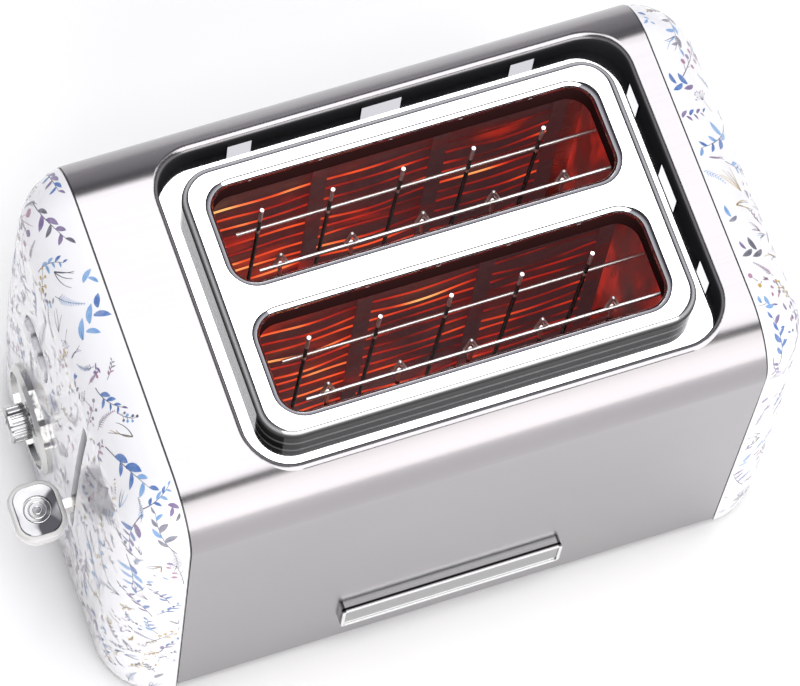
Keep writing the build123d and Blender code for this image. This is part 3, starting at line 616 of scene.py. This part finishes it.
def make_rings(name, centre, radii, tube, material, body):
    """Fine raised rings, turned round an upright line."""
    verts, faces = [], []
    for radius in radii:
        base = len(verts)
        for i in range(RING_STEPS):
            turn = 2 * math.pi * i / RING_STEPS
            for j in range(AROUND):
                roll = 2 * math.pi * j / AROUND
                out, rise = radius + tube * math.cos(roll), tube * math.sin(roll)
                verts.append(body_point(
                    centre[0] + out * math.cos(turn), centre[1] + out * math.sin(turn), centre[2] + rise))
        for i in range(RING_STEPS):
            a, b = base + i * AROUND, base + (i + 1) % RING_STEPS * AROUND
            for j in range(AROUND):
                faces.append((a + j, b + j, b + (j + 1) % AROUND, a + (j + 1) % AROUND))
    return add_piece(name, verts, faces, [material], body)


insert_low, insert_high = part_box("lever_insert")
insert_x = (insert_low[0] + insert_high[0]) / 2 - MIDDLE_X
insert_y = (insert_low[1] + insert_high[1]) / 2 - MIDDLE_Y
insert_centre = (insert_x / MM, insert_y / MM, insert_high[2] / MM - RING_DEPTH)
make_rings("lever_insert_rings", insert_centre, RING_RADII, RING_TUBE, TRIM, "carriage")


# ---- the print on the end caps

# Edges of the printed area and the controls it keeps clear of, about the middle of the body, in millimetres
PRINT_START = 108.2
PRINT_FOOT = 5.2
END_FACE = 115
LEVER_SLOT_Y, LEVER_SLOT_HALF = -20.5, 4.2
LEVER_SLOT_LOW, LEVER_SLOT_HIGH = 54, 150
DIAL_Y, DIAL_Z, DIAL_RADIUS = 22, 58, 22.6
PANEL_Y, PANEL_Z, PANEL_HALF_Y, PANEL_HALF_Z = 27.5, 112, 14.6, 11.2
# A motif is dropped on to the cap from this far off, within this reach, and lies this far above it, in metres
DROP_FROM = 0.012
DROP_REACH = 0.026
PRINT_LIFT = 5e-5
PRINT_SEEDS = {"left_cap": (-1, 11), "right_cap": (1, 12)}
PRINT_TRIES = 6000
# Motif sizes, and those on the turn above the end face, in millimetres
MOTIF_SIZES = (7, 9, 11, 14, 18, 22, 25)
SHOULDER_SIZES = (13, 19, 26)
# Motifs this big or bigger are the bold ones
BOLD_SIZE = 13


def ink(name, color):
    """Printed colour under the cap's clear coat, uneven like a wash of paint."""
    s = Shader(name, color, rough=0.3, Coat_Weight=0.2, Coat_Roughness=0.05)
    wash = s.noise(420.0, 3.0)
    paler = tuple(c + (0.7 - c) * 0.22 for c in color)
    s.tint(wash, color, paler)
    s.roughness(s.noise(200.0), 0.22, 0.38)
    return s.mat


INKS = {
    "blue": ink("ink_blue", (0.045, 0.14, 0.40)), "pale_blue": ink("ink_pale_blue", (0.15, 0.32, 0.60)),
    "slate": ink("ink_slate", (0.035, 0.035, 0.08)), "lilac": ink("ink_lilac", (0.15, 0.10, 0.25)),
    "pink": ink("ink_pink", (0.34, 0.15, 0.26)), "ochre": ink("ink_ochre", (0.46, 0.30, 0.02)),
    "grey": ink("ink_grey", (0.08, 0.08, 0.12)), "pale_grey": ink("ink_pale_grey", (0.18, 0.18, 0.24)),
}
INK_NAMES = list(INKS)


def leaf(start, angle, length, width):
    """A pointed leaf: rows of points across it, from its foot to its tip."""
    rows = []
    for n in range(6):
        t = n / 5
        half = width / 2 * math.sin(math.pi * min(1.0, t * 0.94 + 0.06)) ** 0.8
        bend = angle + 0.35 * t
        x = start[0] + length * t * math.cos(bend)
        y = start[1] + length * t * math.sin(bend)
        side = (-math.sin(bend) * half, math.cos(bend) * half)
        rows.append([(x - side[0], y - side[1]), (x, y), (x + side[0], y + side[1])])
    return rows


def line(points, width):
    """A thin stroke through points, tapering to its end."""
    rows = []
    for n, point in enumerate(points):
        before, after = points[max(n - 1, 0)], points[min(n + 1, len(points) - 1)]
        dx, dy = after[0] - before[0], after[1] - before[1]
        size = math.hypot(dx, dy) or 1.0
        half = width / 2 * (1.0 - 0.6 * n / max(len(points) - 1, 1))
        rows.append([(point[0] + dy / size * half, point[1] - dx / size * half),
                     (point[0] - dy / size * half, point[1] + dx / size * half)])
    return rows


def dot(centre, radius):
    """A small round berry, as rows from one side to the other."""
    rows = []
    for n in range(5):
        t = -1 + n / 2
        half = radius * math.sqrt(max(0.0, 1 - t * t)) + 0.02
        x = centre[0] + t * radius
        rows.append([(x, centre[1] - half), (x, centre[1]), (x, centre[1] + half)])
    return rows


def curve(length, bend, steps=8):
    """Points of a gently bent stem that starts at 0, 0 and runs along X."""
    points, angle, x, y = [(0.0, 0.0)], -bend / 2, 0.0, 0.0
    for _ in range(steps):
        x += length / steps * math.cos(angle)
        y += length / steps * math.sin(angle)
        angle += bend / steps
        points.append((x, y))
    return points


def sprig(rng, size, stem_ink, leaf_inks):
    """A stem with pointed leaves on both sides and one at its tip."""
    stem = curve(size, rng.uniform(-0.8, 0.8))
    shapes = [(stem_ink, line(stem, 0.06 * size ** 0.5 + 0.16))]
    for n in range(2, 9):
        side = 1 if n % 2 else -1
        length = size * rng.uniform(0.22, 0.34) * (1.1 - 0.06 * n)
        angle = side * rng.uniform(0.6, 1.0)
        rows = leaf(stem[n], angle, length, length * rng.uniform(0.32, 0.46))
        shapes.append((rng.choice(leaf_inks), rows))
        vein = [rows[0][1], rows[2][1], rows[4][1]]
        shapes.append((stem_ink, line(vein, 0.24)))
    return shapes


def berries(rng, size, stem_ink, berry_inks):
    """A branching stem with a berry at the end of every twig."""
    stem = curve(size, rng.uniform(-1.0, 1.0))
    shapes = [(stem_ink, line(stem, 0.4))]
    for n in range(2, 9):
        side = 1 if n % 2 else -1
        reach = size * rng.uniform(0.14, 0.26)
        angle = side * rng.uniform(0.5, 1.1)
        end = (stem[n][0] + reach * math.cos(angle), stem[n][1] + reach * math.sin(angle))
        shapes.append((stem_ink, line([stem[n], end], 0.28)))
        shapes.append((rng.choice(berry_inks), dot(end, size * rng.uniform(0.035, 0.055) + 0.25)))
    return shapes


def seed_head(rng, size, stem_ink, tip_inks):
    """A stem that ends in a fan of fine lines with a fleck at the end of each."""
    stem = curve(size * 0.6, rng.uniform(-0.5, 0.5), 5)
    shapes = [(stem_ink, line(stem, 0.26))]
    for n in range(9):
        angle = -1.2 + 2.4 * n / 8 + rng.uniform(-0.08, 0.08)
        reach = size * rng.uniform(0.26, 0.4)
        end = (stem[-1][0] + reach * math.cos(angle), stem[-1][1] + reach * math.sin(angle))
        shapes.append((stem_ink, line([stem[-1], end], 0.15)))
        shapes.append((rng.choice(tip_inks), leaf(end, angle, size * 0.1, size * 0.055)))
    return shapes


def fern(rng, size, stem_ink, tip_inks):
    """A thin frond of short slanting strokes."""
    stem = curve(size, rng.uniform(-1.2, 1.2), 12)
    shapes = [(stem_ink, line(stem, 0.22))]
    for n in range(2, 13):
        for side in (-1, 1):
            reach = size * 0.2 * (1.05 - n / 14)
            angle = side * 0.8
            end = (stem[n][0] + reach * math.cos(angle), stem[n][1] + reach * math.sin(angle))
            shapes.append((rng.choice(tip_inks), line([stem[n], end], 0.36)))
    return shapes


def grass(rng, size, stem_ink, tip_inks):
    """A few long bent blades from one foot."""
    shapes = []
    for n in range(rng.randint(3, 5)):
        turn = rng.uniform(-0.5, 0.5)
        blade = [(x * math.cos(turn) - y * math.sin(turn), x * math.sin(turn) + y * math.cos(turn))
                 for x, y in curve(size * rng.uniform(0.6, 1.0), rng.uniform(-1.0, 1.0), 6)]
        shapes.append((rng.choice([stem_ink, *tip_inks]), line(blade, 0.4)))
    return shapes


def flecks(rng, size, stem_ink, tip_inks):
    """A loose group of small dabs."""
    return [
        (rng.choice(tip_inks), leaf((rng.uniform(-size, size) / 2, rng.uniform(-size, size) / 2),
                                    rng.uniform(0, 6.28), rng.uniform(1.2, 3.0), rng.uniform(0.6, 1.4)))
        for _ in range(rng.randint(3, 6))
    ]


# What the motifs are chosen from; what stands twice is chosen twice as often
BOLD_KINDS = (sprig, sprig, berries, sprig, fern)
SMALL_KINDS = (sprig, berries, seed_head, fern, grass, grass, flecks, flecks)
# The ink of the stem, and those of the leaves or berries
LEAF_INKS = (
    ("slate", ["blue", "pale_blue", "pale_blue"]), ("slate", ["lilac", "grey"]),
    ("slate", ["blue", "lilac"]), ("grey", ["pale_blue", "pale_grey"]),
)
BERRY_INKS = (("grey", ["ochre", "ochre", "blue"]), ("slate", ["pink", "lilac"]), ("grey", ["ochre", "pink"]))
SMALL_INKS = (
    ("pale_grey", ["ochre", "ochre", "grey"]), ("grey", ["ochre"]), ("grey", ["pink", "lilac"]),
    ("pale_grey", ["pale_blue", "grey"]), ("grey", ["pale_grey", "lilac"]),
    ("slate", ["blue", "grey"]), ("pale_grey", ["pale_grey", "pink"]),
)


class Print:
    """Thin motifs laid on a cap's outer face."""

    def __init__(self, node, side):
        mesh = nodes[node].data
        corners = [nodes[node].matrix_world @ v.co for v in mesh.vertices]
        self.tree = BVHTree.FromPolygons(corners, [tuple(p.vertices) for p in mesh.polygons])
        self.node, self.side = node, side
        self.verts, self.faces, self.inks, self.places = [], [], [], []

    def hit(self, origin, direction):
        """The first place a ray meets the cap, and the normal there on the ray's side."""
        point, normal, _, _ = self.tree.ray_cast(origin, direction)
        if point is None:
            return None
        return point, normal if normal.dot(direction) < 0 else -normal

    def anchor(self, rng):
        """A random place on the outside, from the end, the front, the back or the top."""
        y, z = rng.uniform(-74, 74), rng.uniform(8, 170)
        x = rng.uniform(109, 130)
        kind = rng.random()
        if kind < 0.66:
            origin, direction = body_point(self.side * 220, y, z), Vector((-self.side, 0, 0))
        elif kind < 0.80:
            origin, direction = body_point(self.side * x, -200, z), Vector((0, 1, 0))
        elif kind < 0.90:
            origin, direction = body_point(self.side * x, 200, z), Vector((0, -1, 0))
        else:
            origin, direction = body_point(self.side * x, y, 300), Vector((0, 0, -1))
        return self.hit(origin, direction)

    def kept_clear(self, point):
        """True where a control stands, or off the cap."""
        x = (point.x - MIDDLE_X) / MM
        y = (point.y - MIDDLE_Y) / MM
        z = point.z / MM
        if abs(x) < PRINT_START or z < PRINT_FOOT:
            return True
        if self.side > 0:
            return False
        lever = abs(y - LEVER_SLOT_Y) < LEVER_SLOT_HALF and LEVER_SLOT_LOW < z < LEVER_SLOT_HIGH
        dial = math.hypot(y - DIAL_Y, z - DIAL_Z) < DIAL_RADIUS
        panel = abs(y - PANEL_Y) < PANEL_HALF_Y and abs(z - PANEL_Z) < PANEL_HALF_Z
        return abs(x) > END_FACE and (lever or dial or panel)

    def lay(self, shapes, point, normal, turn):
        """Projects flat shapes, given in millimetres, on to the cap round a point."""
        up = Vector((0, 0, 1)) - normal * normal.z
        up = (up if up.length > 0.2 else Vector((0, -1, 0)) - normal * -normal.y).normalized()
        across = up.cross(normal)
        first = up * math.cos(turn) + across * math.sin(turn)
        second = across * math.cos(turn) - up * math.sin(turn)
        for color, rows in shapes:
            found = [[self.drop(point, first, second, normal, spot) for spot in row] for row in rows]
            if any(spot is None for row in found for spot in row):
                continue
            base, wide = len(self.verts), len(found[0])
            self.verts += [spot for row in found for spot in row]
            for i in range(len(found) - 1):
                for j in range(wide - 1):
                    k = base + i * wide + j
                    self.faces.append((k, k + 1, k + wide + 1, k + wide))
                    self.inks.append(INK_NAMES.index(color))

    def drop(self, point, first, second, normal, spot):
        """Where a flat point lands on the cap, or None where it misses or would cover a control."""
        above = point + (first * spot[0] + second * spot[1]) * MM + normal * DROP_FROM
        found = self.hit(above, -normal)
        if found is None or self.kept_clear(found[0]) or (found[0] - above).length > DROP_REACH:
            return None
        place = found[0] + found[1] * PRINT_LIFT
        place.x = max(min(place.x, cad_high.x - 1e-6), cad_low.x + 1e-6)
        return place

    def fill(self, rng, tries):
        """Scatters motifs that keep apart, thickest on the end face and low down."""
        for _ in range(tries):
            found = self.anchor(rng)
            if not found or self.kept_clear(found[0]):
                continue
            point, normal = found
            z = point.z / MM
            flat = abs(normal.x)
            low = 1.0 - min(max((z - 20) / 120, 0.0), 1.0)
            if rng.random() > 0.12 + 0.75 * flat + 0.55 * low * (1 - abs(normal.z)):
                continue
            size = rng.choice(MOTIF_SIZES if flat > 0.5 or z < 90 else SHOULDER_SIZES)
            near = 0.34 * size
            if any((point - other).length < (near + 0.30 * reach) * MM for other, reach in self.places):
                continue
            self.places.append((point, size))
            shapes = self.motif(rng, size)
            self.lay(shapes, point, normal, rng.uniform(-1.1, 1.1) + rng.choice((0, 0, 0, 3.14)))

    def motif(self, rng, size):
        """One motif of a size, in its inks, centred on its length."""
        if size >= BOLD_SIZE:
            kind = rng.choice(BOLD_KINDS)
            inks = rng.choice(LEAF_INKS)
            if kind is berries:
                inks = rng.choice(BERRY_INKS)
        else:
            kind = rng.choice(SMALL_KINDS)
            inks = rng.choice(SMALL_INKS)
        shapes = kind(rng, size, *inks)
        return [(color, [[(x - size / 2, y) for x, y in row] for row in rows]) for color, rows in shapes]

    def finish(self):
        add_piece(self.node + "_print", self.verts, self.faces, list(INKS.values()), face_materials=self.inks)


for cap, (side, seed) in PRINT_SEEDS.items():
    cap_print = Print(cap, side)
    cap_print.fill(random.Random(seed), PRINT_TRIES)
    cap_print.finish()


# ---- floor, light and camera


def area(name, place, aim, size, power, color=(1, 1, 1)):
    """A rectangular lamp at a place, turned towards a point."""
    light = bpy.data.lights.new(name, "AREA")
    light.shape = "RECTANGLE"
    light.size, light.size_y = size
    light.energy = power
    light.color = color
    obj = bpy.data.objects.new(name, light)
    bpy.context.scene.collection.objects.link(obj)
    obj.location = place
    obj.rotation_euler = (Vector(aim) - Vector(place)).to_track_quat("-Z", "Y").to_euler()
    return obj


def make_floor():
    """A plain pale floor, six metres across."""
    mesh = bpy.data.meshes.new("floor")
    r = 3.0
    mesh.from_pydata([(-r, -r, 0), (r, -r, 0), (r, r, 0), (-r, r, 0)], [], [(0, 1, 2, 3)])
    obj = bpy.data.objects.new("floor", mesh)
    bpy.context.scene.collection.objects.link(obj)
    s = Shader("floor", (0.93, 0.93, 0.935), rough=0.9)
    s.tint(s.noise(3.0), (0.92, 0.92, 0.925), (0.94, 0.94, 0.945))
    mesh.materials.append(s.mat)


def make_world():
    """A soft studio: grey-lilac low down all round, and dark overhead, where the lamps hang."""
    world = bpy.data.worlds.new("studio")
    world.use_nodes = True
    tree = world.node_tree
    back = next(n for n in tree.nodes if n.type == "BACKGROUND")
    place = tree.nodes.new("ShaderNodeTexCoord")
    split = tree.nodes.new("ShaderNodeSeparateXYZ")
    ramp = tree.nodes.new("ShaderNodeValToRGB")
    tree.links.new(place.outputs["Generated"], split.inputs["Vector"])
    tree.links.new(split.outputs["Z"], ramp.inputs["Fac"])
    tree.links.new(ramp.outputs["Color"], back.inputs["Color"])
    elements = ramp.color_ramp.elements
    elements[0].position, elements[0].color = 0.0, (0.62, 0.61, 0.64, 1)
    elements[1].position, elements[1].color = 1.0, (0.03, 0.03, 0.032, 1)
    middle = elements.new(0.45)
    middle.color = (0.40, 0.39, 0.43, 1)
    high = elements.new(0.72)
    high.color = (0.05, 0.05, 0.055, 1)
    back.inputs["Strength"].default_value = 1.0
    bpy.context.scene.world = world


def make_camera():
    """The photograph's view, with its slight roll."""
    az, el, roll = CAMERA_AZIMUTH, CAMERA_ELEVATION, CAMERA_ROLL
    back = Vector((math.sin(az) * math.cos(el), -math.cos(az) * math.cos(el), math.sin(el)))
    right = Vector((0, 0, 1)).cross(back).normalized()
    up = back.cross(right)
    turned_right = right * math.cos(roll) + up * math.sin(roll)
    turned_up = up * math.cos(roll) - right * math.sin(roll)
    data = bpy.data.cameras.new("camera")
    data.sensor_fit = "HORIZONTAL"
    data.sensor_width = 36.0
    data.lens = CAMERA_LENS
    data.clip_start, data.clip_end = 0.05, 20.0
    obj = bpy.data.objects.new("camera", data)
    bpy.context.scene.collection.objects.link(obj)
    place = Vector(CAMERA_PLACE) + Vector((MIDDLE_X, MIDDLE_Y, 0))
    turn = Matrix((turned_right, turned_up, back)).transposed().to_4x4()
    obj.matrix_world = Matrix.Translation(place) @ turn
    bpy.context.scene.camera = obj


make_floor()
make_world()
make_camera()
area("top_softbox", (0.30, 0.22, 2.0), (0.3, 0.22, 0), (1.5, 2.4), 36)
area("front_softbox", (-0.1, -1.75, 0.98), (0, 0, 0.5), (2.5, 1.9), 40, (1.0, 0.985, 0.96))
fill = area("overhead_fill", (0, 0, 3.2), (0, 0, 0), (2.2, 2.2), 26)
fill.visible_glossy = False
bpy.context.scene.view_settings.view_transform = "Standard"
